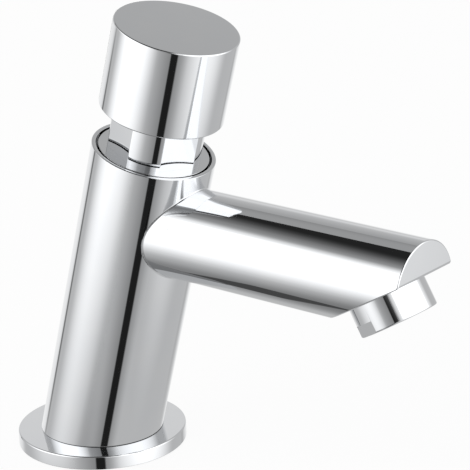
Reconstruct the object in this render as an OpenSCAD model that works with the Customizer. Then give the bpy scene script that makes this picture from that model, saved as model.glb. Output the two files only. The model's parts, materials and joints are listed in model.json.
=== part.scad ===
// Push-button self-closing basin tap: a leaning column with a cast spout, standing on a round flange.
// A timed cartridge sits in the column under a neck collar, and a threaded shank goes through the deck.
// The origin is on the deck, on the axis of the shank. +Z is up and +X points towards the outlet.

/* [Column] */
// Outer diameter of the column
column_d = 40; // [38:0.5:46]
// Length of the column on its axis, from the top of the flange to the rim
column_len = 104.5; // [100:0.5:125]
// Lean of the column from upright, towards the outlet, in degrees
lean = 16; // [8:0.5:20]
// Wall of the column at its open rim
rim_wall = 1.3; // [1:0.1:1.8]
// Gap between that wall and the ring of the collar
rim_gap = 0.8; // [0.4:0.1:1.2]
// Bore of the water jacket round the cartridge
jacket_d = 30; // [28:0.1:31]
// Bore of the inlet chamber under the cartridge
chamber_d = 20; // [18:0.5:21]

/* [Base flange] */
// Outer diameter of the flange
flange_d = 56.5; // [52:0.5:64]
// Height of the flange
flange_h = 4.6; // [3.6:0.1:8]
// Bevel on the upper edge of the flange
flange_edge = 0.5; // [0.2:0.1:1]
// Bare lip of the flange outside its gasket
flange_lip = 3; // [2:0.5:5]
// Width of the gasket ring under the flange
base_gasket_w = 8; // [4:0.5:10]
// Thickness of the gasket, set in flush with the underside
base_gasket_t = 2; // [1:0.1:2.5]

/* [Spout] */
// Outer diameter of the spout
spout_d = 30; // [28:0.5:34]
// Distance along the column's axis from the flange to the spout's axis
spout_rise = 78.2; // [74:0.1:82]
// Length of the spout on its axis, from the column's axis to the end face
spout_len = 109.5; // [80:0.5:150]
// Fall of the spout below level, in degrees
spout_drop = 1.2; // [0:0.1:6]
// Tilt of the cut under the spout's end, in degrees from level
cut_angle = 30; // [22:1:36]
// Height of the cut's front edge above the spout's axis
cut_rise = 4.2; // [3:0.1:6]
// Rounding between the cut and the end face
cut_round = 1.5; // [0.5:0.1:4]
// Bore of the waterway in the spout
waterway_d = 12; // [8:0.5:14]

/* [Aerator] */
// Outer diameter of the aerator's housing
aerator_d = 24.8; // [22:0.1:25]
// How far the housing stands out of the cut
aerator_proud = 9.2; // [7:0.1:14]
// Distance of its axis from the cut's front edge
aerator_back = 15.9; // [14:0.1:18]
// Shoulder between the housing and its threaded end
aerator_step = 1; // [0.6:0.1:1.6]
// Length of the threaded end inside the spout
aerator_thread_len = 6.5; // [4:0.5:8]
// Wall of the threaded end round the insert
aerator_wall = 1.6; // [1:0.1:2.2]
// Bevel on the lower edge of the housing
aerator_edge = 0.4; // [0.3:0.1:1]
// Depth of the two wrench flats on the housing
aerator_flat_depth = 1; // [0.5:0.1:1.4]
// Height of the wrench flats from the outlet end
aerator_flat_h = 3.9; // [3:0.1:6]
// Turn of those flats about the aerator's axis, in degrees
aerator_turn = 23; // [-90:1:90]
// Thickness of the gasket over the housing
aerator_gasket_t = 1.5; // [1:0.1:2]
// Depth of the outlet grid inside the mouth of the housing
outlet_inset = 1.2; // [0.6:0.1:2]
// Thickness of the outlet grid
outlet_grid_t = 1.4; // [1:0.1:2]
// Hole size in the outlet grid
grid_hole_d = 1.7; // [1.2:0.1:2]
// Spacing of the holes in the outlet grid
grid_pitch = 2.4; // [2.3:0.1:3]

/* [Push button] */
// Outer diameter of the button
button_d = 40; // [38:0.5:46]
// Height of the button
button_h = 28.8; // [27:0.1:36]
// Side wall of the button
button_wall = 2; // [1.5:0.1:2.5]
// Thickness of the button's top
button_top_t = 3; // [2:0.1:4]
// Bevel on the edges of the button
button_edge = 0.4; // [0.2:0.1:0.8]
// Travel of the button
stroke = 10; // [6:0.5:12]
// Gap left between the pressed button and the rim
pressed_gap = 4; // [2:0.1:6]
// Outer diameter of the hub inside the button
hub_d = 13; // [12:0.5:16]
// Thickness of the hub's plate and ribs
hub_plate_t = 2.5; // [2:0.1:3.5]
// Number of ribs on the hub
hub_ribs = 4; // [3:1:8]
// Diameter of the pin through hub and stem
hub_pin_d = 2.5; // [2:0.1:3]
// Gap left between the pressed hub and the neck
stop_gap = 0.5; // [0.3:0.1:1]

/* [Neck collar] */
// Diameter of the neck
neck_d = 30; // [29:0.1:31.5]
// Width of the neck across its four wrench flats
neck_flats = 27.2; // [27:0.1:28.6]
// Turn of the flats about the column's axis, in degrees
flats_turn = -19; // [-45:1:45]
// How far the neck reaches into the resting button
neck_reach = 5.5; // [3:0.5:7]
// Drop of the ring below the rim
ring_drop = 0.1; // [0.1:0.1:2]
// Thickness of the ring
ring_t = 4; // [3:0.1:5]
// Thread diameter of the collar in the column
collar_thread_d = 33; // [32:0.1:33.4]
// Length of that thread
collar_thread_len = 13; // [11:0.5:14]
// Section of the seal ring under the collar's ring
collar_oring_d = 1.8; // [1.4:0.1:2]
// Land of the collar between its ring and that seal ring
collar_land = 1; // [0.6:0.1:1.5]
// Crown of the neck above the stem's bush
crown_wall = 4.3; // [3:0.1:6]
// Length of the stem's bush
bush_len = 4; // [3:0.5:6]
// Section of the seal ring on the stem
stem_oring_d = 2.4; // [2:0.1:2.6]
// Thickness of the retaining clip under the seal ring
clip_t = 1; // [0.8:0.1:1.4]
// How far the clip bites into its groove
clip_bite = 0.6; // [0.4:0.1:0.8]

/* [Cartridge] */
// Outer diameter of the cartridge's housing
housing_d = 24; // [23:0.1:24.4]
// Wall of the housing
housing_wall = 2.5; // [2:0.1:3]
// Length of the housing
housing_len = 65; // [60:0.5:70]
// Height of the foot ring below the partition
foot_h = 4; // [3.5:0.1:5]
// Thickness of the foot's flange above that
foot_flange_t = 1.5; // [1:0.1:2]
// Thickness of the partition with the valve's seat
partition_t = 5; // [3:0.5:6]
// Bore of the valve's seat
seat_bore_d = 11; // [9:0.5:12]
// Height of the seat's raised lip
seat_lip_h = 1; // [0.6:0.1:1.4]
// Width of the lip
seat_lip_w = 1.5; // [1:0.1:1.8]
// Thickness of the gasket under the foot
seat_gasket_t = 1.5; // [1:0.1:2]
// Diameter of the outlet windows in the housing
window_d = 8; // [6:0.5:9]
// Number of outlet windows
windows = 4; // [3:1:5]

/* [Stem and valve] */
// Diameter of the stem
stem_d = 8; // [7:0.1:8.6]
// Diameter of the stem's lower half
stem_tail_d = 6; // [5:0.1:6.4]
// Free space over the resting piston
piston_headroom = 3; // [2:0.1:5]
// Thickness of the piston's head
piston_head_t = 3; // [2:0.1:4]
// Diameter of the piston's spigot under the head
piston_spigot_d = 12; // [11:0.1:13]
// Height of the lip seal on the spigot
lip_seal_h = 5; // [4:0.1:6]
// Width of the groove between the seal's two lips
lip_groove_w = 1.2; // [0.8:0.1:1.4]
// Thickness of the washer between the seal and the spring
piston_washer_t = 1.5; // [1:0.1:2]
// Diameter of the valve's rubber washer
valve_washer_d = 16; // [15.5:0.1:16.4]
// Thickness of that washer
valve_washer_t = 3; // [2.5:0.1:4]
// Rim of the valve's cup round the washer
valve_cup_rim = 0.8; // [0.5:0.1:0.9]
// Floor of the valve's cup
valve_cup_t = 2.5; // [1.5:0.1:3]
// Width across flats of the valve's nut
valve_nut_af = 10; // [9:0.5:12]
// Thickness of the valve's nut
valve_nut_t = 4; // [3:0.1:5]
// Length of stem below that nut
stem_tip = 1; // [0.5:0.1:2]

/* [Return spring] */
// Wire of the spring
spring_wire = 1.6; // [1.2:0.1:1.8]
// Diameter of the spring at the middle of its wire
spring_d = 14; // [13.4:0.1:14.6]
// Number of turns
spring_turns = 8; // [6:1:10]
// Gap between the closed turns at each end
spring_end_gap = 0.6; // [0.5:0.1:0.8]

/* [Shank and fixing] */
// Thread diameter of the shank
shank_d = 20.95; // [16.66:G 3/8, 20.95:G 1/2]
// Wall of the shank
shank_wall = 3.5; // [3:0.1:4]
// Length of the shank inside the column
shank_engage = 14; // [10:0.5:16]
// Deck thickness that the fixing is set for
deck_t = 18; // [5:1:40]
// Diameter of the clamping washer and gasket
clamp_d = 42; // [36:1:50]
// Thickness of the clamping gasket
clamp_gasket_t = 3; // [2:0.1:4]
// Thickness of the clamping washer
clamp_washer_t = 2; // [1.5:0.1:3]
// Width across flats of the back nut
nut_af = 30; // [27:0.5:36]
// Thickness of the back nut
nut_t = 9; // [6:0.5:12]
// Width of the thread relief below the nut
relief_w = 2; // [1:0.1:3]
// Depth of the thread relief
relief_depth = 0.6; // [0.4:0.1:1]
// Length of the free thread for the supply hose
hose_thread_len = 21; // [15:0.5:30]
// Bevel at the shank's lower end
shank_bevel = 1; // [0.5:0.1:1.5]

/* [Inlet] */
// Step in the shank's bore that the flow limiter rests against
limiter_step = 1; // [0.6:0.1:1.5]
// Distance of the flow limiter from the shank's lower end
limiter_rise = 20; // [18:0.5:24]
// Thickness of the flow limiter
limiter_t = 5; // [3:0.5:6]
// Hole in the flow limiter
limiter_hole_d = 3; // [2:0.1:4]
// Depth of the strainer's seat in the shank's end
strainer_seat_h = 3; // [2:0.1:4]
// Width of the strainer's brim over the bore
strainer_brim_w = 1.4; // [1:0.1:1.6]
// Thickness of the strainer's brim and walls
strainer_wall = 1; // [0.8:0.1:1.2]
// Height of the strainer's basket
strainer_h = 12; // [9:0.5:14]
// Number of slots round the basket
strainer_slots = 8; // [6:1:10]
// Width of those slots
strainer_slot_w = 1.2; // [0.8:0.1:1.4]

/* [Hidden] */
$fn = 64;

// Fits
run_gap = 0.05;        // sliding fits of the stem, the piston and its seal
press_gap = 0.02;      // pressed and set-in pieces
thread_gap = 0.1;      // between threads, drawn as plain cylinders
loose_gap = 0.4;       // loose holes and gaskets
eps = 1;               // overshoot of cuts

// Radii
column_r = column_d / 2;
rim_r = column_r - rim_wall;
ring_r = rim_r - rim_gap;
neck_r = neck_d / 2;
jacket_r = jacket_d / 2;
chamber_r = chamber_d / 2;
spout_r = spout_d / 2;
waterway_r = waterway_d / 2;
flange_r = flange_d / 2;
button_r = button_d / 2;
cavity_r = button_r - button_wall;
hub_r = hub_d / 2;
hub_pin_r = hub_pin_d / 2;
collar_thread_r = collar_thread_d / 2;
skirt_r = collar_thread_r - thread_gap;
housing_r = housing_d / 2;
cylinder_r = housing_r - housing_wall;
seat_r = seat_bore_d / 2;
stem_r = stem_d / 2;
tail_r = stem_tail_d / 2;
spigot_r = piston_spigot_d / 2;
piston_r = cylinder_r - run_gap;
washer_r = valve_washer_d / 2;
gland_r = stem_r + run_gap + stem_oring_d + run_gap;
shank_r = shank_d / 2;
shank_bore_r = shank_r - shank_wall;
throat_r = shank_bore_r - limiter_step;
clamp_r = clamp_d / 2;
gasket_out_r = flange_r - flange_lip;
gasket_in_r = gasket_out_r - base_gasket_w;
aerator_r = aerator_d / 2;
aerator_thread_r = aerator_r - aerator_step;
insert_r = aerator_thread_r - aerator_wall - press_gap;
groove_w = collar_oring_d + 2 * press_gap;
spring_r = spring_d / 2;
wire_r = spring_wire / 2;

// Heights along the column's axis, counted from the top of the flange
rim = column_len;
ring_top = rim - ring_drop;
ring_low = ring_top - ring_t;
collar_low = ring_low - collar_thread_len;
groove_top = ring_low - collar_land;
button_low = rim + pressed_gap + stroke;
button_top = button_low + button_h;
ceiling = button_top - button_top_t;
neck_top = button_low + neck_reach;
hub_low = neck_top + stroke + stop_gap;
stem_top = ceiling - hub_plate_t;
hub_pin_height = (hub_low + stem_top) / 2;
bush_top = neck_top - crown_wall;
bush_low = bush_top - bush_len;
clip_top = bush_low - stem_oring_d - 2 * run_gap;
housing_top = clip_top - clip_t - 2 * press_gap;
housing_low = housing_top - housing_len;
shoulder = housing_low - seat_gasket_t;
partition_low = housing_low + foot_h;
partition_top = partition_low + partition_t;
seat_face = partition_low - seat_lip_h;
piston_top = housing_top - piston_headroom;
piston_low = piston_top - piston_head_t;
spring_top = piston_low - lip_seal_h - piston_washer_t;
spring_low = partition_top;
valve_low = seat_face - valve_washer_t - valve_cup_t;
stem_low = valve_low - valve_nut_t - stem_tip;
chamber_low = (shank_engage + chamber_r * sin(lean)) / cos(lean) + eps;

// Heights on the shank, below the deck
clamp_gasket_low = -deck_t - clamp_gasket_t;
clamp_washer_low = clamp_gasket_low - clamp_washer_t;
nut_low = clamp_washer_low - nut_t;
shank_low = nut_low - relief_w - hose_thread_len - shank_bevel;
shank_top = flange_h + shank_engage;

// Distances in the spout
cut_turn = 90 - cut_angle - spout_drop;
round_reach = cut_round * tan(cut_turn / 2);
ROUND_STEPS = 6;
waterway_len = spout_len - aerator_back * cos(cut_angle + spout_drop);
socket_depth = aerator_thread_len + aerator_gasket_t;
grid_low = aerator_proud - outlet_inset - outlet_grid_t;

// Colours of the finishes
chrome = [0.80, 0.81, 0.83];
brass = [0.80, 0.64, 0.30];
steel = [0.62, 0.63, 0.65];
rubber = [0.13, 0.13, 0.14];
white_plastic = [0.90, 0.90, 0.88];
grey_plastic = [0.45, 0.46, 0.48];

// Rings of the spring's tube, and the points that its wire follows
RINGS_PER_TURN = 8;
WIRE_SIDES = 6;
spring_rings = spring_turns * RINGS_PER_TURN;
closed_pitch = spring_wire + spring_end_gap;
wire_rise = spring_top - spring_low - spring_wire;
open_pitch = (wire_rise - 2 * closed_pitch) / (spring_turns - 2);
function spring_height(turn) =
    turn < 1 ? turn * closed_pitch :
    turn < spring_turns - 1 ? closed_pitch + (turn - 1) * open_pitch :
    closed_pitch + (spring_turns - 2) * open_pitch + (turn - spring_turns + 1) * closed_pitch;
function wire_point(i) =
    let (turn = i / RINGS_PER_TURN)
    [spring_r * cos(360 * turn), spring_r * sin(360 * turn), spring_height(turn)];
function wire_ring(i) =
    let (angle = 360 * i / RINGS_PER_TURN)
    [for (k = [0 : WIRE_SIDES - 1])
        let (turned = 360 * k / WIRE_SIDES)
        wire_point(i) + wire_r * [cos(turned) * cos(angle), cos(turned) * sin(angle), sin(turned)]];
spring_gap = min([for (i = [0 : spring_rings - RINGS_PER_TURN])
    norm(wire_point(i + RINGS_PER_TURN) - wire_point(i))]) - spring_wire;
echo(return_spring_least_gap = spring_gap);

// On the column's axis, with its zero at the top of the flange
module on_column() {
    translate([0, 0, flange_h]) rotate([0, lean, 0]) children();
}

// On the spout's axis, pointing out of the column; the local -X is up
module on_spout() {
    on_column() translate([0, 0, spout_rise]) rotate([0, 90 + spout_drop - lean, 0]) children();
}

// On the front edge of the cut, pointing out of it; the local +X runs back along the cut
module on_cut() {
    on_spout() translate([-cut_rise, 0, spout_len])
        rotate([0, cut_turn, 0]) children();
}

// On the aerator's axis, pointing out of the cut
module on_outlet() {
    on_cut() translate([aerator_back, 0, 0]) children();
}

// Across the hub, on the axis of its pin
module across_hub() {
    translate([0, 0, hub_pin_height]) rotate([90, 0, flats_turn]) children();
}

// Round bar between two heights
module bar(r, low, high) {
    translate([0, 0, low]) cylinder(r = r, h = high - low);
}

// Tube between two heights
module tube(r_out, r_in, low, high) {
    difference() {
        bar(r_out, low, high);
        bar(r_in, low - eps, high + eps);
    }
}

// Hexagon bar between two heights, by its width across flats
module hexagon(af, low, high) {
    translate([0, 0, low]) cylinder(r = af / 2 / cos(30), h = high - low, $fn = 6);
}

// Seal ring of round section, lying round a shaft
module seal_ring(r_in, section, height) {
    translate([0, 0, height]) rotate_extrude() translate([r_in + section / 2, 0]) circle(d = section);
}

// What the slanted cut takes off the spout, with the rounding up to the end face
module slant_cut() {
    end_normal = [-sin(cut_turn), cos(cut_turn)];
    middle = [round_reach, -cut_round];
    rounding = [for (i = [0 : ROUND_STEPS])
        let (angle = cut_turn * i / ROUND_STEPS)
        middle + cut_round * [-sin(angle), cos(angle)]];
    rotate([90, 0, 0]) linear_extrude(height = 2 * spout_d, center = true) polygon(concat(
        [[4 * spout_d, 0]],
        rounding,
        [rounding[ROUND_STEPS] + spout_d * end_normal],
        [[4 * spout_d, 2 * spout_d]]
    ));
}

// Column and spout, cast in one, with the cartridge's bores and the waterway
module body() {
    color(chrome) difference() {
        union() {
            difference() {
                on_column() bar(column_r, -column_r * tan(lean) - eps, rim);
                translate([-column_d, -column_d, -column_d])
                    cube([2 * column_d, 2 * column_d, column_d + flange_h]);
            }
            difference() {
                on_spout() bar(spout_r, 0, spout_len);
                on_cut() slant_cut();
            }
        }
        on_column() {
            bar(rim_r, ring_low, rim + eps);
            bar(collar_thread_r, collar_low - eps, ring_low + eps);
            bar(jacket_r, shoulder, collar_low);
            bar(chamber_r, chamber_low, shoulder + eps);
        }
        bar(shank_r + thread_gap, flange_h - eps, shank_top);
        bar(shank_bore_r, shank_top - eps, flange_h + chamber_low / cos(lean) + chamber_r * sin(lean));
        on_spout() bar(waterway_r, 0, waterway_len);
        on_outlet() bar(aerator_thread_r + thread_gap, -socket_depth, eps);
    }
}

// Round disc under the column, hollowed below for its gasket
module base_flange() {
    color(chrome) difference() {
        rotate_extrude() polygon([
            [shank_r + loose_gap, 0],
            [flange_r, 0],
            [flange_r, flange_h - flange_edge],
            [flange_r - flange_edge, flange_h],
            [shank_r + loose_gap, flange_h]
        ]);
        tube(gasket_out_r, gasket_in_r, -eps, base_gasket_t);
    }
}

// Rubber ring in the underside of the flange
module base_gasket() {
    color(rubber) tube(gasket_out_r - press_gap, gasket_in_r + press_gap, 0, base_gasket_t);
}

// Threaded tube from the column through the deck
module inlet_shank() {
    color(brass) difference() {
        rotate_extrude() polygon([
            [throat_r, shank_low + limiter_rise + limiter_t],
            [shank_bore_r, shank_low + limiter_rise + limiter_t],
            [shank_bore_r, shank_low],
            [shank_r - shank_bevel, shank_low],
            [shank_r, shank_low + shank_bevel],
            [shank_r, nut_low - relief_w],
            [shank_r - relief_depth, nut_low - relief_w],
            [shank_r - relief_depth, nut_low],
            [shank_r, nut_low],
            [shank_r, shank_top],
            [throat_r, shank_top]
        ]);
        bar(shank_bore_r + strainer_brim_w, shank_low - eps, shank_low + strainer_seat_h);
    }
}

// Rubber washer under the deck
module clamp_gasket() {
    color(rubber) tube(clamp_r, shank_r + loose_gap, clamp_gasket_low, -deck_t);
}

// Steel washer under the rubber one
module clamp_washer() {
    color(steel) tube(clamp_r, shank_r + loose_gap, clamp_washer_low, clamp_gasket_low);
}

// Hexagon nut that clamps the tap to the deck
module back_nut() {
    color(brass) difference() {
        hexagon(nut_af, nut_low, clamp_washer_low);
        bar(shank_r + thread_gap, nut_low - eps, clamp_washer_low + eps);
    }
}

// Disc with a small hole that holds the flow down, against the step in the shank
module flow_limiter() {
    low = shank_low + limiter_rise;
    color(white_plastic) tube(shank_bore_r - press_gap, limiter_hole_d / 2, low, low + limiter_t);
}

// Slotted basket in the shank's lower end
module inlet_strainer() {
    brim_top = shank_low + strainer_seat_h;
    brim_low = brim_top - strainer_wall;
    basket_r = shank_bore_r - loose_gap;
    basket_top = brim_low + strainer_h;
    slot_low = brim_top + strainer_wall;
    slot_h = basket_top - 2 * strainer_wall - slot_low;
    color(steel) difference() {
        union() {
            bar(shank_bore_r + strainer_brim_w - press_gap, brim_low, brim_top);
            bar(basket_r, brim_low, basket_top);
        }
        bar(basket_r - strainer_wall, brim_low - eps, basket_top - strainer_wall);
        for (i = [0 : strainer_slots - 1])
            rotate([0, 0, 360 * i / strainer_slots])
                translate([0, -strainer_slot_w / 2, slot_low])
                    cube([basket_r + eps, strainer_slot_w, slot_h]);
    }
}

// Screwed-in collar: ring in the rim, neck with four wrench flats, seats for the housing and the bush
module neck_collar() {
    color(chrome) on_column() difference() {
        union() {
            bar(skirt_r, collar_low, ring_low);
            bar(ring_r, ring_low, ring_top);
            intersection() {
                bar(neck_r, ring_low, neck_top);
                rotate([0, 0, flats_turn])
                    translate([-neck_flats / 2, -neck_flats / 2, ring_low])
                        cube([neck_flats, neck_flats, neck_top - ring_low]);
            }
        }
        tube(skirt_r + eps, skirt_r - groove_w, groove_top - groove_w, groove_top);
        bar(housing_r + thread_gap, collar_low - eps, housing_top);
        bar(gland_r + clip_bite, housing_top - eps, clip_top + press_gap);
        bar(gland_r, housing_top, bush_top);
        bar(stem_r + loose_gap, bush_top - eps, neck_top + eps);
    }
}

// Seal ring in the groove of the collar
module collar_oring() {
    color(rubber) on_column()
        seal_ring(skirt_r - collar_oring_d - press_gap, collar_oring_d, groove_top - groove_w / 2);
}

// Plastic bush that guides the stem in the neck
module stem_bush() {
    color(white_plastic) on_column() tube(gland_r - press_gap, stem_r + run_gap, bush_low, bush_top);
}

// Seal ring on the stem, under the bush
module stem_oring() {
    color(rubber) on_column()
        seal_ring(stem_r + run_gap, stem_oring_d, bush_low - run_gap - stem_oring_d / 2);
}

// Open ring that keeps the bush and the seal in the neck
module bush_clip() {
    color(steel) on_column() difference() {
        tube(gland_r + clip_bite - press_gap, stem_r + loose_gap, clip_top - clip_t, clip_top);
        translate([0, -stem_r / 2, clip_top - clip_t - eps]) cube([2 * gland_r, stem_r, clip_t + 2 * eps]);
    }
}

// Cartridge's tube, with the piston's cylinder, outlet windows, the valve's seat and a foot
module cartridge_housing() {
    color(brass) on_column() difference() {
        union() {
            bar(housing_r, partition_low, housing_top);
            bar(jacket_r - loose_gap, housing_low, partition_low + foot_flange_t);
        }
        bar(cylinder_r, partition_top, housing_top + eps);
        difference() {
            bar(chamber_r, housing_low - eps, partition_low);
            tube(seat_r + seat_lip_w, seat_r, seat_face, partition_low + eps);
        }
        bar(seat_r, housing_low - eps, partition_top + eps);
        for (i = [0 : windows - 1])
            rotate([0, 0, 360 * i / windows])
                translate([0, 0, partition_top + window_d / 2 + foot_flange_t])
                    rotate([0, 90, 0]) cylinder(d = window_d, h = housing_r + eps);
    }
}

// Gasket between the housing's foot and the shoulder in the column
module seat_gasket() {
    color(rubber) on_column() tube(jacket_r - loose_gap, chamber_r + loose_gap, shoulder, housing_low);
}

// Coil spring under the piston, one unbroken wire
module return_spring() {
    last = spring_rings * WIRE_SIDES;
    points = [for (i = [0 : spring_rings]) each wire_ring(i)];
    sides = [for (i = [0 : spring_rings - 1], k = [0 : WIRE_SIDES - 1])
        let (
            near = i * WIRE_SIDES + k,
            beside = i * WIRE_SIDES + (k + 1) % WIRE_SIDES
        )
        each [[near, near + WIRE_SIDES, beside], [beside, near + WIRE_SIDES, beside + WIRE_SIDES]]];
    first_end = [for (k = [1 : WIRE_SIDES - 2]) [0, k, k + 1]];
    last_end = [for (k = [1 : WIRE_SIDES - 2]) [last, last + k + 1, last + k]];
    color(steel) on_column() translate([0, 0, spring_low + wire_r])
        polyhedron(points, concat(sides, first_end, last_end));
}

// Hollow cap that is pressed
module push_button() {
    color(chrome) on_column() rotate_extrude() polygon([
        [0, ceiling],
        [cavity_r, ceiling],
        [cavity_r, button_low],
        [button_r - button_edge, button_low],
        [button_r, button_low + button_edge],
        [button_r, button_top - button_edge],
        [button_r - button_edge, button_top],
        [0, button_top]
    ]);
}

// Ribbed plastic hub pressed into the button, with the stem's socket
module button_hub() {
    rib_low = ceiling - 2 * hub_plate_t;
    color(grey_plastic) on_column() difference() {
        union() {
            bar(cavity_r - press_gap, stem_top, ceiling);
            bar(hub_r, hub_low, ceiling);
            for (i = [0 : hub_ribs - 1])
                rotate([0, 0, 360 * i / hub_ribs])
                    translate([0, -hub_plate_t / 2, rib_low])
                        cube([cavity_r - 2 * hub_plate_t, hub_plate_t, ceiling - rib_low]);
        }
        bar(stem_r + press_gap, hub_low - eps, stem_top);
        across_hub() bar(hub_pin_r + press_gap, -hub_r - eps, hub_r + eps);
    }
}

// Pin through the hub and the stem
module hub_pin() {
    color(steel) on_column() across_hub() bar(hub_pin_r, -hub_r, hub_r);
}

// Stepped rod from the hub down to the valve
module stem() {
    color(steel) on_column() difference() {
        union() {
            bar(stem_r, piston_top, stem_top);
            bar(tail_r, stem_low, piston_top);
        }
        across_hub() bar(hub_pin_r + press_gap, -stem_r - eps, stem_r + eps);
    }
}

// Piston that draws water into the timing space above it
module piston() {
    color(white_plastic) on_column() difference() {
        union() {
            bar(piston_r, piston_low, piston_top);
            bar(spigot_r, piston_low - lip_seal_h, piston_low);
        }
        bar(tail_r + press_gap, piston_low - lip_seal_h - eps, piston_top + eps);
    }
}

// Rubber seal with two lips, open towards the spring
module lip_seal() {
    low = piston_low - lip_seal_h;
    middle_r = (spigot_r + piston_r) / 2;
    color(rubber) on_column() difference() {
        tube(piston_r, spigot_r + press_gap, low, piston_low);
        tube(middle_r + lip_groove_w / 2, middle_r - lip_groove_w / 2, low - eps, low + lip_seal_h / 2);
    }
}

// Washer that the spring pushes against
module piston_washer() {
    color(steel) on_column()
        tube(piston_r - loose_gap, tail_r + press_gap, spring_top, spring_top + piston_washer_t);
}

// Rubber disc that closes the seat
module valve_washer() {
    color(rubber) on_column() tube(washer_r, tail_r + press_gap, seat_face - valve_washer_t, seat_face);
}

// Cup that carries the rubber disc
module valve_cup() {
    color(brass) on_column() difference() {
        bar(washer_r + press_gap + valve_cup_rim, valve_low, seat_face - valve_washer_t / 2);
        bar(washer_r + press_gap, seat_face - valve_washer_t, seat_face);
        bar(tail_r + press_gap, valve_low - eps, seat_face);
    }
}

// Nut that holds the valve on the stem
module valve_nut() {
    color(brass) on_column() difference() {
        hexagon(valve_nut_af, valve_low - valve_nut_t, valve_low);
        bar(tail_r + press_gap, valve_low - valve_nut_t - eps, valve_low + eps);
    }
}

// Ring screwed into the cut, with two wrench flats beside its mouth
module aerator_housing() {
    color(chrome) on_outlet() difference() {
        rotate_extrude() polygon([
            [insert_r + press_gap, -aerator_thread_len],
            [aerator_thread_r, -aerator_thread_len],
            [aerator_thread_r, 0],
            [aerator_r, 0],
            [aerator_r, aerator_proud - aerator_edge],
            [aerator_r - aerator_edge, aerator_proud],
            [insert_r + press_gap, aerator_proud]
        ]);
        for (side = [0, 180])
            rotate([0, 0, aerator_turn + side])
                translate([-aerator_r, aerator_r - aerator_flat_depth, aerator_proud - aerator_flat_h])
                    cube([aerator_d, aerator_d, aerator_flat_h + eps]);
    }
}

// Gasket between the housing and the end of its socket
module aerator_gasket() {
    color(rubber) on_outlet()
        tube(aerator_thread_r - press_gap, waterway_r, -socket_depth, -aerator_thread_len);
}

// Plastic insert that mixes air into the water
module aerator_insert() {
    color(white_plastic) on_outlet()
        tube(insert_r, insert_r - aerator_wall, -aerator_thread_len, grid_low);
}

// Drilled disc at the mouth of the aerator
module outlet_grid() {
    reach = insert_r - aerator_wall - grid_hole_d / 2;
    rows = floor(reach / (grid_pitch * sin(60)));
    columns = ceil(reach / grid_pitch) + 1;
    color(grey_plastic) on_outlet() difference() {
        bar(insert_r, grid_low, grid_low + outlet_grid_t);
        for (row = [-rows : rows], column = [-columns : columns]) {
            place = [(column + (row % 2) / 2) * grid_pitch, row * grid_pitch * sin(60)];
            if (norm(place) <= reach)
                translate(place) bar(grid_hole_d / 2, grid_low - eps, grid_low + outlet_grid_t + eps);
        }
    }
}

body();
base_flange();
base_gasket();
inlet_shank();
clamp_gasket();
clamp_washer();
back_nut();
flow_limiter();
inlet_strainer();
neck_collar();
collar_oring();
stem_bush();
stem_oring();
bush_clip();
cartridge_housing();
seat_gasket();
return_spring();
push_button();
button_hub();
hub_pin();
stem();
piston();
lip_seal();
piston_washer();
valve_washer();
valve_cup();
valve_nut();
aerator_housing();
aerator_gasket();
aerator_insert();
outlet_grid();
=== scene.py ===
"""Looks of a self-closing push tap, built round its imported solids. Sizes are in millimetres."""
import json
from math import cos, hypot, pi, radians, sin, tan

import bmesh
import bpy
from mathutils import Matrix, Vector

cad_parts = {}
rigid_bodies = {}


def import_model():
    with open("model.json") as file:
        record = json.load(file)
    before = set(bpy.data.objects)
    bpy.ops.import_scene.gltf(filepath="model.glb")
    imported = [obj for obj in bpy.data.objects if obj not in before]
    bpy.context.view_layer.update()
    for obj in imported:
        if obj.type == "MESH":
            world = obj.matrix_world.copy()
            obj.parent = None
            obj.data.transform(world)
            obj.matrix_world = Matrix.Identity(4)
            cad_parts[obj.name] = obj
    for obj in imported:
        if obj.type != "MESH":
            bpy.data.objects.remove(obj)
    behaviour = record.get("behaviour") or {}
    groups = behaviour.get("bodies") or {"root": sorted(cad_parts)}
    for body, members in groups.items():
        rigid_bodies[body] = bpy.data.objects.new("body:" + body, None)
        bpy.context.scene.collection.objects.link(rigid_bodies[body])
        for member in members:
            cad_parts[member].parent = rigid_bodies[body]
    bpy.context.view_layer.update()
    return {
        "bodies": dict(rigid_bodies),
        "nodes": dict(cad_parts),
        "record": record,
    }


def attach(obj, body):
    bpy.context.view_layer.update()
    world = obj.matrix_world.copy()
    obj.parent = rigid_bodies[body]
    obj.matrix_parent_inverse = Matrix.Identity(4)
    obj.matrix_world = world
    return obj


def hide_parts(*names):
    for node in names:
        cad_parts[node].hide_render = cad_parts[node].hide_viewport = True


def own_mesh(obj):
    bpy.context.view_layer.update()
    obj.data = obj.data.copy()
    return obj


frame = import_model()

MM = 0.001

# Sizes of the outer forms
COLUMN_R = 20
COLUMN_LEN = 104.5
COLUMN_LEAN = radians(16)
RIM_WALL = 1.3
RIM_EDGE = 0.18
FOOT_EDGE = 0.25
FLANGE_R = 28.25
FLANGE_H = 4.6
FLANGE_EDGE = 0.5
FLANGE_UNDER_EDGE = 0.2
SPOUT_R = 15
SPOUT_RISE = 78.2
SPOUT_LEN = 109.5
SPOUT_DROP = radians(1.2)
SPOUT_EDGE = 0.45
ROOT_ROUND = 0.5
CUT_ANGLE = radians(30)
CUT_RISE = 4.2
CUT_ROUND = 1.5
WATERWAY_R = 6
AERATOR_R = 12.4
AERATOR_THREAD_R = 11.4
AERATOR_BACK = 15.9
AERATOR_PROUD = 9.2
AERATOR_EDGE = 0.55
AERATOR_FLAT_DEPTH = 1
AERATOR_FLAT_H = 3.9
AERATOR_TURN = radians(23)
BUTTON_R = 20
BUTTON_WALL = 2
BUTTON_TOP_T = 3
BUTTON_EDGE = 0.48
NECK_R = 15
NECK_FLAT = 13.6
NECK_TURN = radians(-19)
NECK_EDGE = 0.12
RING_R = 17.9
RING_DROP = 0.1
RING_T = 4
RING_EDGE = 0.2
COLLAR_THREAD_LEN = 13
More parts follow.
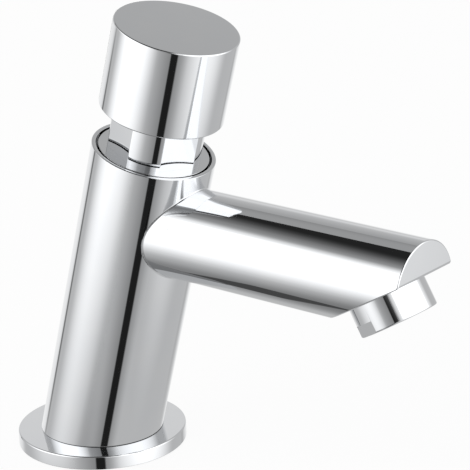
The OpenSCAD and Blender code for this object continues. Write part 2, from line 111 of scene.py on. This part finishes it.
JACKET_R = 15
CHAMBER_R = 10
HOUSING_R = 12
STEM_R = 4
SHANK_WALL = 3.5
GASKET_WIDTH = 8
SPRING_WIRE = 1.6
SPRING_TURNS = 8
SPRING_END_GAP = 0.6

# Fits and mesh steps
THREAD_GAP = 0.1
LOOSE_GAP = 0.4
PRESS_GAP = 0.02
OVERSHOOT = 1
EDGE_MERGE = 0.1
ROOT_MERGE = 0.2
ROUND = 256
BORE_ROUND = 96
SHARP = radians(20)
SMOOTH = radians(40)

# Frames: each one's Z runs along the axis of what is modelled on it
UPRIGHT = Matrix.Identity(4)
COLUMN = Matrix.Translation((0, 0, FLANGE_H * MM)) @ Matrix.Rotation(COLUMN_LEAN, 4, "Y")
SPOUT = (COLUMN @ Matrix.Translation((0, 0, SPOUT_RISE * MM))
         @ Matrix.Rotation(pi / 2 + SPOUT_DROP - COLUMN_LEAN, 4, "Y"))
CUT_TURN = pi / 2 - CUT_ANGLE - SPOUT_DROP
CUT = (SPOUT @ Matrix.Translation((-CUT_RISE * MM, 0, SPOUT_LEN * MM))
       @ Matrix.Rotation(CUT_TURN, 4, "Y"))
OUTLET = CUT @ Matrix.Translation((AERATOR_BACK * MM, 0, 0))


# Modelling by hand
def only(piece):
    """Selects one piece and nothing else."""
    bpy.ops.object.select_all(action="DESELECT")
    piece.select_set(True)
    bpy.context.view_layer.objects.active = piece


def settle(piece, place):
    """Moves a piece that was modelled upright to its place, and leaves that place in its mesh."""
    only(piece)
    piece.matrix_world = place
    bpy.ops.object.transform_apply(location=True, rotation=True, scale=True)
    return piece


def bar(name, radius, low, high, place=UPRIGHT, sides=ROUND):
    """Round bar between two heights of a frame."""
    bpy.ops.object.select_all(action="DESELECT")
    bpy.ops.mesh.primitive_cylinder_add(
        vertices=sides, radius=radius * MM, depth=(high - low) * MM, location=(0, 0, (low + high) / 2 * MM))
    piece = bpy.context.object
    piece.name = name
    bpy.ops.object.transform_apply(location=True, rotation=True, scale=True)
    return settle(piece, place)


def box(name, low, high, place=UPRIGHT):
    """Block between two corners of a frame."""
    size = [(b - a) * MM for a, b in zip(low, high)]
    middle = [(a + b) / 2 * MM for a, b in zip(low, high)]
    bpy.ops.object.select_all(action="DESELECT")
    bpy.ops.mesh.primitive_cube_add(size=1, location=middle, scale=size)
    piece = bpy.context.object
    piece.name = name
    bpy.ops.object.transform_apply(location=True, rotation=True, scale=True)
    return settle(piece, place)


def combine(piece, tool, operation):
    """Cuts a tool from a piece or joins it on, and removes the tool."""
    only(piece)
    modifier = piece.modifiers.new(operation.lower(), "BOOLEAN")
    modifier.operation = operation
    modifier.solver = "EXACT"
    modifier.object = tool
    bpy.ops.object.modifier_apply(modifier=modifier.name)
    bpy.data.objects.remove(tool)
    return piece


def pick(piece, kind, chosen):
    """Opens a piece in edit mode with only the chosen edges or faces selected."""
    only(piece)
    bpy.ops.object.mode_set(mode="EDIT")
    bpy.ops.mesh.select_mode(type=kind)
    bpy.ops.mesh.select_all(action="DESELECT")
    mesh = bmesh.from_edit_mesh(piece.data)
    for part in {"VERT": mesh.verts, "EDGE": mesh.edges, "FACE": mesh.faces}[kind]:
        if chosen(part):
            part.select_set(True)
    bmesh.update_edit_mesh(piece.data)


def close():
    """Leaves edit mode."""
    bpy.ops.object.mode_set(mode="OBJECT")


def middle_of(edge):
    """Middle of an edge in millimetres."""
    return (edge.verts[0].co + edge.verts[1].co) / (2 * MM)


def is_sharp(edge):
    """Whether the faces beside an edge meet at a corner."""
    return edge.calc_face_angle(0) > SHARP


def bevel(piece, chosen, width, segments=3, slide=True):
    """Rounds the chosen edges, with an even width where the faces beside them don't slide."""
    pick(piece, "EDGE", chosen)
    bpy.ops.mesh.bevel(offset=width * MM, offset_type="OFFSET", segments=segments, affect="EDGES",
                       clamp_overlap=False, loop_slide=slide)
    close()


def merge(piece, chosen, distance):
    """Merges the chosen vertices that lie close together, for even steps along an edge."""
    pick(piece, "VERT", chosen)
    bpy.ops.mesh.remove_doubles(threshold=distance * MM)
    close()


def polish(piece):
    """Smooth shading that keeps flats flat and leaves square edges sharp."""
    only(piece)
    bpy.ops.object.shade_smooth_by_angle(angle=SMOOTH)
    modifier = piece.modifiers.new("weighted", "WEIGHTED_NORMAL")
    modifier.keep_sharp = True
    bpy.ops.object.modifier_apply(modifier=modifier.name)
    return piece


def measure(node, place):
    """A node's lowest and highest point on a frame's Z axis and its reach from that axis."""
    local = place.inverted()
    points = [local @ vertex.co / MM for vertex in frame["nodes"][node].data.vertices]
    heights = [p.z for p in points]
    return min(heights), max(heights), max(hypot(p.x, p.y) for p in points)


# Heights on the column's axis
RIM = COLUMN_LEN
RING_TOP = RIM - RING_DROP
RING_LOW = RING_TOP - RING_T
COLLAR_LOW = RING_LOW - COLLAR_THREAD_LEN
BUTTON_LOW, BUTTON_TOP, _ = measure("push_button", COLUMN)
NECK_TOP = measure("neck_collar", COLUMN)[1]
HOUSING_LOW, HOUSING_TOP, _ = measure("cartridge_housing", COLUMN)
SHOULDER = measure("seat_gasket", COLUMN)[0]
SHANK_TOP = measure("inlet_shank", UPRIGHT)[1]
SHANK_R = measure("inlet_shank", UPRIGHT)[2]


def slant_tool():
    """Block that cuts the spout's end on the slant and rounds the corner to the end face."""
    steps = 14
    reach = CUT_ROUND * tan(CUT_TURN / 2)
    middle = Vector((reach, -CUT_ROUND))
    outline = [Vector((4 * SPOUT_R, 0))]
    for i in range(steps + 1):
        angle = CUT_TURN * i / steps
        outline.append(middle + CUT_ROUND * Vector((-sin(angle), cos(angle))))
    outline.append(outline[-1] + 2 * SPOUT_R * Vector((-sin(CUT_TURN), cos(CUT_TURN))))
    outline.append(Vector((4 * SPOUT_R, 4 * SPOUT_R)))
    mesh = bpy.data.meshes.new("slant_tool")
    mesh.from_pydata([(p.x * MM, -2 * SPOUT_R * MM, p.y * MM) for p in outline], [], [range(len(outline))])
    piece = bpy.data.objects.new("slant_tool", mesh)
    bpy.context.collection.objects.link(piece)
    pick(piece, "FACE", lambda face: True)
    bpy.ops.mesh.extrude_region_move(TRANSFORM_OT_translate={"value": (0, 4 * SPOUT_R * MM, 0)})
    bpy.ops.mesh.select_all(action="SELECT")
    bpy.ops.mesh.normals_make_consistent(inside=False)
    close()
    return settle(piece, CUT)


def make_column():
    """Leaning tube, cut level at its foot, with the recess at its rim."""
    piece = bar("body_casting", COLUMN_R, -COLUMN_R * tan(COLUMN_LEAN) - OVERSHOOT, RIM)
    pick(piece, "FACE", lambda face: face.normal.z > 0.99)
    bpy.ops.mesh.inset(thickness=RIM_WALL * MM)
    bpy.ops.mesh.extrude_region_move(TRANSFORM_OT_translate={"value": (0, 0, (RING_LOW - RIM) * MM)})
    close()
    bevel(piece, lambda edge: is_sharp(edge) and abs(middle_of(edge).z - RIM) < 0.01, RIM_EDGE)
    settle(piece, COLUMN)
    pick(piece, "FACE", lambda face: True)
    bpy.ops.mesh.bisect(plane_co=(0, 0, FLANGE_H * MM), plane_no=(0, 0, 1), use_fill=True, clear_inner=True)
    close()
    bevel(piece, lambda edge: is_sharp(edge) and middle_of(edge).z < FLANGE_H + 0.01, FOOT_EDGE, 2)
    return piece


def make_spout():
    """Straight round spout with its slanted end."""
    piece = bar("spout", SPOUT_R, CHAMBER_R, SPOUT_LEN, SPOUT)
    combine(piece, slant_tool(), "DIFFERENCE")
    merge(piece, lambda vertex: vertex.co.x > SPOUT_LEN / 2 * MM, EDGE_MERGE)
    bevel(piece, lambda edge: is_sharp(edge) and middle_of(edge).x > SPOUT_LEN / 2, SPOUT_EDGE, slide=False)
    return piece


def on_root(vertex):
    """Whether a vertex lies on the line where the spout leaves the column."""
    on_column = COLUMN.inverted() @ vertex.co / MM
    on_spout = SPOUT.inverted() @ vertex.co / MM
    near = 0.02
    return (abs(hypot(on_column.x, on_column.y) - COLUMN_R) < near
            and abs(hypot(on_spout.x, on_spout.y) - SPOUT_R) < near and on_spout.z > 0)


def make_body():
    """Column and spout in one casting, with the small round at the spout's root and all bores."""
    piece = combine(make_column(), make_spout(), "UNION")
    merge(piece, on_root, ROOT_MERGE)
    bevel(piece, lambda edge: is_sharp(edge) and all(map(on_root, edge.verts)), ROOT_ROUND)
    thread_r = measure("collar_oring", COLUMN)[2] + THREAD_GAP + PRESS_GAP
    chamber_low = SHANK_TOP - FLANGE_H + CHAMBER_R * tan(COLUMN_LEAN) + OVERSHOOT
    waterway_end = SPOUT_LEN - AERATOR_BACK * cos(CUT_ANGLE + SPOUT_DROP)
    socket_low = measure("aerator_gasket", OUTLET)[0]
    bores = [
        (thread_r, COLLAR_LOW - OVERSHOOT, RING_LOW + OVERSHOOT, COLUMN),
        (JACKET_R, SHOULDER, COLLAR_LOW, COLUMN),
        (CHAMBER_R, chamber_low, SHOULDER + OVERSHOOT, COLUMN),
        (SHANK_R + THREAD_GAP, FLANGE_H - OVERSHOOT, SHANK_TOP, UPRIGHT),
        (SHANK_R - SHANK_WALL, SHANK_TOP - OVERSHOOT, SHANK_TOP + CHAMBER_R, UPRIGHT),
        (WATERWAY_R, 0, waterway_end, SPOUT),
        (AERATOR_THREAD_R + THREAD_GAP, socket_low, OVERSHOOT, OUTLET),
    ]
    for radius, low, high, place in bores:
        combine(piece, bar("bore", radius, low, high, place, BORE_ROUND), "DIFFERENCE")
    return polish(piece)


def make_flange():
    """Round disc with a rounded upper edge, a hole for the shank and a groove for the gasket."""
    piece = bar("base_disc", FLANGE_R, 0, FLANGE_H)
    bevel(piece, lambda edge: is_sharp(edge) and middle_of(edge).z > FLANGE_H / 2, FLANGE_EDGE, 4)
    bevel(piece, lambda edge: is_sharp(edge) and middle_of(edge).z < FLANGE_H / 2, FLANGE_UNDER_EDGE, 2)
    _, gasket_high, gasket_r = measure("base_gasket", UPRIGHT)
    groove = bar("groove", gasket_r + PRESS_GAP, -OVERSHOOT, gasket_high)
    combine(groove, bar("land", gasket_r - GASKET_WIDTH - PRESS_GAP, -2 * OVERSHOOT, 2 * FLANGE_H), "DIFFERENCE")
    combine(piece, groove, "DIFFERENCE")
    combine(piece, bar("hole", SHANK_R + LOOSE_GAP, -OVERSHOOT, FLANGE_H + OVERSHOOT), "DIFFERENCE")
    return polish(piece)


def make_neck():
    """Collar: a threaded skirt, a ring that fills the rim and a neck with four wrench flats."""
    neck = bar("neck", NECK_R, RING_LOW, NECK_TOP)
    for side in range(4):
        angle = NECK_TURN + side * pi / 2
        outward = Vector((cos(angle), sin(angle), 0))
        pick(neck, "FACE", lambda face: True)
        bpy.ops.mesh.bisect(plane_co=outward * NECK_FLAT * MM, plane_no=outward, use_fill=True,
                            clear_outer=True)
        close()
    bevel(neck, is_sharp, NECK_EDGE, 2)
    piece = bar("neck_collar_turned", RING_R, RING_LOW, RING_TOP)
    bevel(piece, is_sharp, RING_EDGE)
    combine(piece, neck, "UNION")
    skirt_r = measure("collar_oring", COLUMN)[2] + PRESS_GAP
    combine(piece, bar("skirt", skirt_r, COLLAR_LOW, RING_LOW + OVERSHOOT), "UNION")
    ring_low, ring_high, _ = measure("collar_oring", COLUMN)
    groove = bar("groove", skirt_r + OVERSHOOT, ring_low - PRESS_GAP, ring_high + PRESS_GAP)
    combine(groove, bar("land", skirt_r - (ring_high - ring_low) - 2 * PRESS_GAP, COLLAR_LOW, RING_TOP),
            "DIFFERENCE")
    combine(piece, groove, "DIFFERENCE")
    _, clip_high, clip_r = measure("bush_clip", COLUMN)
    _, bush_high, bush_r = measure("stem_bush", COLUMN)
    bores = [
        (HOUSING_R + THREAD_GAP, COLLAR_LOW - OVERSHOOT, HOUSING_TOP),
        (clip_r + PRESS_GAP, HOUSING_TOP - OVERSHOOT, clip_high + PRESS_GAP),
        (bush_r + PRESS_GAP, HOUSING_TOP, bush_high),
        (STEM_R + LOOSE_GAP, bush_high - OVERSHOOT, NECK_TOP + OVERSHOOT),
    ]
    for radius, low, high in bores:
        combine(piece, bar("bore", radius, low, high, sides=BORE_ROUND), "DIFFERENCE")
    return polish(settle(piece, COLUMN))


def make_button():
    """Hollow cap with small rounds on its edges."""
    piece = bar("button_cap", BUTTON_R, BUTTON_LOW, BUTTON_TOP)
    pick(piece, "FACE", lambda face: face.normal.z < -0.99)
    bpy.ops.mesh.inset(thickness=BUTTON_WALL * MM)
    depth = BUTTON_TOP - BUTTON_TOP_T - BUTTON_LOW
    bpy.ops.mesh.extrude_region_move(TRANSFORM_OT_translate={"value": (0, 0, depth * MM)})
    close()
    bevel(piece, lambda edge: is_sharp(edge) and hypot(*middle_of(edge).xy) > BUTTON_R - 0.01, BUTTON_EDGE)
    return polish(settle(piece, COLUMN))


def make_aerator():
    """Ring with a rounded mouth and two wrench flats, on a threaded end."""
    thread_low = measure("aerator_housing", OUTLET)[0]
    bore_r = measure("aerator_insert", OUTLET)[2] + PRESS_GAP
    piece = bar("aerator_ring", AERATOR_R, 0, AERATOR_PROUD)
    bevel(piece, lambda edge: is_sharp(edge) and middle_of(edge).z > AERATOR_PROUD / 2, AERATOR_EDGE, 4)
    for side in range(2):
        turn = Matrix.Rotation(AERATOR_TURN + side * pi, 4, "Z")
        flat = box("flat", (-AERATOR_R, AERATOR_R - AERATOR_FLAT_DEPTH, AERATOR_PROUD - AERATOR_FLAT_H),
                   (AERATOR_R, 2 * AERATOR_R, AERATOR_PROUD + OVERSHOOT), turn)
        combine(piece, flat, "DIFFERENCE")
    combine(piece, bar("thread", AERATOR_THREAD_R, thread_low, OVERSHOOT), "UNION")
    combine(piece, bar("bore", bore_r, thread_low - OVERSHOOT, AERATOR_PROUD + OVERSHOOT), "DIFFERENCE")
    return polish(settle(piece, OUTLET))


def make_spring():
    """One unbroken wire, with a closed turn at each end."""
    low, high, reach = measure("return_spring", COLUMN)
    wire = SPRING_WIRE
    turns = SPRING_TURNS
    steps = 48
    closed_pitch = wire + SPRING_END_GAP
    rise = high - low - wire
    open_pitch = (rise - 2 * closed_pitch) / (turns - 2)
    curve = bpy.data.curves.new("return_spring_wire", "CURVE")
    curve.dimensions = "3D"
    curve.bevel_depth = wire / 2 * MM
    curve.bevel_resolution = 5
    curve.use_fill_caps = True
    line = curve.splines.new("POLY")
    line.points.add(turns * steps)
    for i, point in enumerate(line.points):
        turn = i / steps
        open_turns = min(max(turn - 1, 0), turns - 2)
        height = low + wire / 2 + open_turns * open_pitch + (turn - open_turns) * closed_pitch
        radius = reach - wire / 2
        point.co = (radius * cos(2 * pi * turn) * MM, radius * sin(2 * pi * turn) * MM, height * MM, 1)
    piece = bpy.data.objects.new("return_spring_wire", curve)
    bpy.context.collection.objects.link(piece)
    only(piece)
    bpy.ops.object.convert(target="MESH")
    return polish(settle(bpy.context.object, COLUMN))


# Materials
def linear(code):
    """Linear colour of an sRGB hex value."""
    parts = [int(code[i:i + 2], 16) / 255 for i in (1, 3, 5)]
    return [c / 12.92 if c <= 0.04045 else ((c + 0.055) / 1.055) ** 2.4 for c in parts] + [1]


def per(size):
    """Pattern scale that gives features of a size in millimetres."""
    return 1 / (size * MM)


def add(tree, kind, settings=None, inputs=None):
    """Adds a node with its settings, and sets or links its inputs."""
    made = tree.nodes.new(kind)
    for name, value in (settings or {}).items():
        setattr(made, name, value)
    for name, value in (inputs or {}).items():
        if isinstance(value, bpy.types.NodeSocket):
            tree.links.new(value, made.inputs[name])
        else:
            made.inputs[name].default_value = value
    return made


def begin(name, **sockets):
    """A new material, its tree, its shader and the piece's own coordinates."""
    material = bpy.data.materials.new(name)
    material.use_nodes = True
    tree = material.node_tree
    shader = tree.nodes["Principled BSDF"]
    for socket, value in sockets.items():
        shader.inputs[socket.replace("_", " ")].default_value = value
    place = add(tree, "ShaderNodeTexCoord").outputs["Object"]
    return material, tree, shader, place


def chrome_plate():
    """Bright chrome on polished brass: a clear mirror, faintly hazy and wavy, with painted shade that turns it
    near black in tight gaps.
    """
    material, tree, shader, place = begin("polished_chrome_plate", Metallic=1)
    # Painted shade: ambient occlusion over 1.5 mm darkens the base colour in tight gaps, grooves and inner
    # corners, where shade falls
    gap = add(tree, "ShaderNodeAmbientOcclusion", None, {"Distance": 1.5 * MM})
    unshaded = add(tree, "ShaderNodeMapRange", None, {"Value": gap.outputs["AO"], "From Min": 0.15, "From Max": 0.5})
    haze = add(tree, "ShaderNodeTexNoise", None, {"Vector": place, "Scale": per(11), "Detail": 4})
    tone = add(tree, "ShaderNodeMix", {"data_type": "RGBA"},
               {"Factor": haze.outputs["Fac"], "A": linear("#E1E3E6"), "B": linear("#E7E8E9")})
    # Mixes in the painted shade colour #101011 where the ambient occlusion finds a tight gap
    shaded = add(tree, "ShaderNodeMix", {"data_type": "RGBA"},
                 {"Factor": unshaded.outputs["Result"], "A": linear("#101011"), "B": tone.outputs["Result"]})
    gloss = add(tree, "ShaderNodeMapRange", None,
                {"Value": haze.outputs["Fac"], "From Min": 0.35, "From Max": 0.7, "To Min": 0.02, "To Max": 0.05})
    wave = add(tree, "ShaderNodeTexNoise", None, {"Vector": place, "Scale": per(7), "Detail": 1})
    bump = add(tree, "ShaderNodeBump", None,
               {"Height": wave.outputs["Fac"], "Strength": 1, "Distance": 0.0012 * MM})
    tree.links.new(shaded.outputs["Result"], shader.inputs["Base Color"])
    tree.links.new(gloss.outputs["Result"], shader.inputs["Roughness"])
    tree.links.new(bump.outputs["Normal"], shader.inputs["Normal"])
    return material


def machined(name, dark, light, rough):
    """Turned metal: fine tool marks across it, and patches where handling has dulled it."""
    material, tree, shader, place = begin(name, Metallic=1)
    patches = add(tree, "ShaderNodeTexNoise", None, {"Vector": place, "Scale": per(4), "Detail": 5})
    tone = add(tree, "ShaderNodeMix", {"data_type": "RGBA"},
               {"Factor": patches.outputs["Fac"], "A": linear(dark), "B": linear(light)})
    gloss = add(tree, "ShaderNodeMapRange", None,
                {"Value": patches.outputs["Fac"], "From Min": 0.3, "From Max": 0.7,
                 "To Min": rough - 0.07, "To Max": rough + 0.1})
    marks = add(tree, "ShaderNodeTexWave", {"bands_direction": "Z"},
                {"Vector": place, "Scale": per(0.35) / 20, "Distortion": 0.4, "Detail": 2})
    bump = add(tree, "ShaderNodeBump", None,
               {"Height": marks.outputs["Fac"], "Strength": 0.5, "Distance": 0.01 * MM})
    tree.links.new(tone.outputs["Result"], shader.inputs["Base Color"])
    tree.links.new(gloss.outputs["Result"], shader.inputs["Roughness"])
    tree.links.new(bump.outputs["Normal"], shader.inputs["Normal"])
    return material


def moulded(name, dark, light, rough, grain, depth, ior):
    """Moulded rubber or plastic: an even colour with a slight mottle and a fine grain."""
    material, tree, shader, place = begin(name, IOR=ior)
    mottle = add(tree, "ShaderNodeTexNoise", None, {"Vector": place, "Scale": per(5), "Detail": 3})
    tone = add(tree, "ShaderNodeMix", {"data_type": "RGBA"},
               {"Factor": mottle.outputs["Fac"], "A": linear(dark), "B": linear(light)})
    gloss = add(tree, "ShaderNodeMapRange", None,
                {"Value": mottle.outputs["Fac"], "From Min": 0.3, "From Max": 0.7,
                 "To Min": rough - 0.06, "To Max": rough + 0.06})
    skin = add(tree, "ShaderNodeTexNoise", None, {"Vector": place, "Scale": per(grain), "Detail": 2})
    bump = add(tree, "ShaderNodeBump", None,
               {"Height": skin.outputs["Fac"], "Strength": 0.6, "Distance": depth * MM})
    tree.links.new(tone.outputs["Result"], shader.inputs["Base Color"])
    tree.links.new(gloss.outputs["Result"], shader.inputs["Roughness"])
    tree.links.new(bump.outputs["Normal"], shader.inputs["Normal"])
    return material


finishes = {
    "chrome": chrome_plate(),
    "brass": machined("turned_brass", "#B88E3C", "#D9B765", 0.26),
    "steel": machined("bright_stainless_steel", "#A3A6AA", "#C9CBCE", 0.24),
    "rubber": moulded("black_moulded_rubber", "#161617", "#232325", 0.62, 0.4, 0.02, 1.52),
    "white_plastic": moulded("white_acetal", "#E3E3DC", "#F0F0EA", 0.36, 0.8, 0.008, 1.48),
    "grey_plastic": moulded("grey_acetal", "#696C70", "#7E8185", 0.4, 0.8, 0.008, 1.48),
}
for subpart in frame["record"]["subparts"]:
    materials = frame["nodes"][subpart["node"]].data.materials
    materials.clear()
    materials.append(finishes[subpart["material_slot"]])


def dress(piece, node, body, slot):
    """Gives a piece its finish, and puts it in the place of its solid."""
    piece.data.materials.clear()
    piece.data.materials.append(finishes[slot])
    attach(piece, body)
    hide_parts(node)
    return piece


dress(make_body(), "body", "tap", "chrome")
flange = dress(make_flange(), "base_flange", "tap", "chrome")
dress(make_neck(), "neck_collar", "tap", "chrome")
dress(make_button(), "push_button", "plunger", "chrome")
dress(make_aerator(), "aerator_housing", "tap", "chrome")
spring = dress(make_spring(), "return_spring", "tap", "steel")
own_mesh(spring)

# Camera, from the outlines of the photograph
CAMERA_AZIMUTH = radians(38.519)
CAMERA_ELEVATION = radians(18.268)
CAMERA_ROLL = radians(-2.182)
CAMERA_PLACE = Vector((494.587, -545.641, 312.277)) * MM
FOCAL_PIXELS = 2353
IMAGE_PIXELS = 470

towards = Vector((sin(CAMERA_AZIMUTH), -cos(CAMERA_AZIMUTH), 0))
sideways = Vector((cos(CAMERA_AZIMUTH), sin(CAMERA_AZIMUTH), 0))
upwards = Vector((0, 0, 1))
back = cos(CAMERA_ELEVATION) * towards + sin(CAMERA_ELEVATION) * upwards
over = back.cross(sideways)
right = cos(CAMERA_ROLL) * sideways + sin(CAMERA_ROLL) * over
up = cos(CAMERA_ROLL) * over - sin(CAMERA_ROLL) * sideways
lens = bpy.data.cameras.new("camera")
lens.sensor_width = 36
lens.lens = FOCAL_PIXELS / IMAGE_PIXELS * lens.sensor_width
camera = bpy.data.objects.new("camera", lens)
bpy.context.collection.objects.link(camera)
camera.matrix_world = Matrix.Translation(CAMERA_PLACE) @ Matrix((right, up, back)).transposed().to_4x4()
bpy.context.scene.camera = camera

# Studio: cards that only the chrome mirrors, by their direction seen from the tap in degrees.
# Azimuth 0 is towards the camera, and positive is to the camera's right.
TARGET = Vector((40, 0, 75)) * MM


def mirrored_only(piece, tone, fade=(0, 0, 0, 0)):
    """Makes a stage piece glow only in mirrors, from its front. Fade softens it left, right, low and high."""
    piece.visible_camera = False
    piece.visible_diffuse = False
    piece.visible_transmission = False
    piece.visible_shadow = False
    material = bpy.data.materials.new(piece.name)
    material.use_nodes = True
    tree = material.node_tree
    tree.nodes.clear()
    side = add(tree, "ShaderNodeNewGeometry").outputs["Backfacing"]
    sides = add(tree, "ShaderNodeSeparateXYZ", None, {"Vector": add(tree, "ShaderNodeTexCoord").outputs["UV"]})
    cover = add(tree, "ShaderNodeMath", {"operation": "SUBTRACT"}, {0: 1, 1: side}).outputs[0]
    for axis, start, soft in (("X", 0, fade[0]), ("X", 1, -fade[1]), ("Y", 0, fade[2]), ("Y", 1, -fade[3])):
        if soft:
            edge = add(tree, "ShaderNodeMapRange", {"interpolation_type": "SMOOTHSTEP"},
                       {"Value": sides.outputs[axis], "From Min": start, "From Max": start + soft})
            cover = add(tree, "ShaderNodeMath", {"operation": "MULTIPLY"},
                        {0: edge.outputs["Result"], 1: cover}).outputs[0]
    clear = add(tree, "ShaderNodeBsdfTransparent")
    glow = add(tree, "ShaderNodeEmission", None, {"Strength": tone})
    mix = add(tree, "ShaderNodeMixShader", None, {0: cover, 1: clear.outputs[0], 2: glow.outputs[0]})
    add(tree, "ShaderNodeOutputMaterial", None, {"Surface": mix.outputs[0]})
    piece.data.materials.append(material)


def card(name, azimuth, elevation, width, height, tone, fade, distance):
    """A card that faces the tap from a direction and a distance in metres, with its size in degrees."""
    a, e = radians(azimuth), radians(elevation)
    level = cos(a) * towards + sin(a) * sideways
    outward = cos(e) * level + sin(e) * upwards
    across = sin(a) * towards - cos(a) * sideways
    rising = cos(e) * upwards - sin(e) * level
    turn = Matrix((across, rising, -outward)).transposed().to_4x4()
    size = [2 * distance * tan(radians(angle / 2)) for angle in (width, height)]
    bpy.ops.object.select_all(action="DESELECT")
    bpy.ops.mesh.primitive_plane_add(size=1)
    piece = bpy.context.object
    piece.name = name
    piece.matrix_world = Matrix.Translation(TARGET + distance * outward) @ turn @ Matrix.Diagonal((*size, 1, 1))
    left, right, low, high = fade
    mirrored_only(piece, tone, (right, left, low, high))


card("left_softbox", -75, 6, 97, 90, 1.65, (0.45, 0.38, 0.5, 0.25), 0.58)
card("right_softbox", 60, 8, 118, 120, 1.6, (0.5, 0.48, 0.42, 0.15), 0.66)
card("top_right_light", 51, 28, 98, 42, 1.65, (0.08, 0.1, 0.2, 0.2), 0.66)
card("front_shade", -10, -2, 70, 120, 0.25, (0.62, 0.5, 0, 0), 0.72)
card("black_flag", -4.5, -16, 14.5, 84, 0.015, (0.15, 0.2, 0, 0.25), 0.62)
card("dark_ceiling", -80, 71, 97, 66, 0.02, (0, 0.18, 0.5, 0.1), 0.75)
card("upper_front_dark", -18, 45, 76, 20, 0.1, (0.3, 0.1, 0.35, 0.2), 0.5)
card("back_top", 178, 50, 53, 60, 0.38, (0.1, 0.1, 0.6, 0), 0.8)
card("back_low", 180, 16, 70, 20, 0.76, (0.3, 0.3, 0.3, 0.5), 0.68)
card("back_sweep", 187, -14, 86, 52, 0.95, (0.3, 0.22, 0.3, 0.4), 0.7)
card("back_flag", 187, 0, 10, 24, 0.02, (0.2, 0.2, 0.1, 0.1), 0.6)
card("dark_floor", -87, -56, 84, 46, 0.24, (0.4, 0.22, 0, 0.5), 0.66)
card("floor_gap", -113, -56, 17, 8, 0.07, (0.05, 0.05, 0.1, 0.1), 0.6)
card("left_seam", -131, -12, 8, 30, 0.2, (0.2, 0.5, 0.3, 0.25), 0.56)
card("right_seam", 145, -26, 10, 26, 0.5, (0.4, 0.4, 0.2, 0.2), 0.56)

# The photographed spout and column mirror little but the studio. So the plunger, the flange and the fixing below
# the deck aren't mirrored.
FIXING = ("base_gasket", "inlet_shank", "clamp_gasket", "clamp_washer", "back_nut", "inlet_strainer",
          "flow_limiter")
for piece in (flange, *(frame["nodes"][name] for name in FIXING), *frame["bodies"]["plunger"].children):
    piece.visible_glossy = False

# World: an even studio for the floor, a mid grey for the chrome beyond the cards and white behind
WORLD_EVEN = 1.0
WORLD_MIRRORED = 0.7
world = bpy.data.worlds.new("studio")
bpy.context.scene.world = world
world.use_nodes = True
tree = world.node_tree
tree.nodes.clear()
ray = add(tree, "ShaderNodeLightPath")
mirrored = add(tree, "ShaderNodeMix", {"data_type": "FLOAT"},
               {"Factor": ray.outputs["Is Glossy Ray"], "A": WORLD_EVEN, "B": WORLD_MIRRORED})
light = add(tree, "ShaderNodeBackground", None, {"Strength": mirrored.outputs["Result"]})
add(tree, "ShaderNodeOutputWorld", None, {"Surface": light.outputs[0]})

# Floor: pale and even, level with the deck, with the tap's soft shadow
bpy.ops.object.select_all(action="DESELECT")
bpy.ops.mesh.primitive_plane_add(size=12, location=(0, 0, -0.2 * MM))
floor = bpy.context.object
floor.name = "floor"
floor.visible_glossy = False
pale = bpy.data.materials.new("pale_floor")
pale.use_nodes = True
tree = pale.node_tree
tree.nodes.clear()
ray = add(tree, "ShaderNodeLightPath")
matt = add(tree, "ShaderNodeBsdfDiffuse", None, {"Color": linear("#F4F4F4")})
glow = add(tree, "ShaderNodeEmission", None, {"Strength": 1})
share = add(tree, "ShaderNodeMath", {"operation": "MULTIPLY"}, {0: ray.outputs["Is Camera Ray"], 1: 0.92})
mix = add(tree, "ShaderNodeMixShader", None, {0: share.outputs[0], 1: matt.outputs[0], 2: glow.outputs[0]})
add(tree, "ShaderNodeOutputMaterial", None, {"Surface": mix.outputs[0]})
floor.data.materials.append(pale)

# Key lamp, high on the left
lamp = bpy.data.lights.new("key_lamp", "AREA")
lamp.size = 0.9
lamp.energy = 3
key = bpy.data.objects.new("key_lamp", lamp)
bpy.context.collection.objects.link(key)
key.location = TARGET + 1.2 * (0.5 * towards - 0.6 * sideways + 0.8 * upwards)
key.rotation_euler = (key.location - TARGET).to_track_quat("Z", "Y").to_euler()
key.visible_glossy = False

bpy.context.scene.view_settings.view_transform = "Standard"
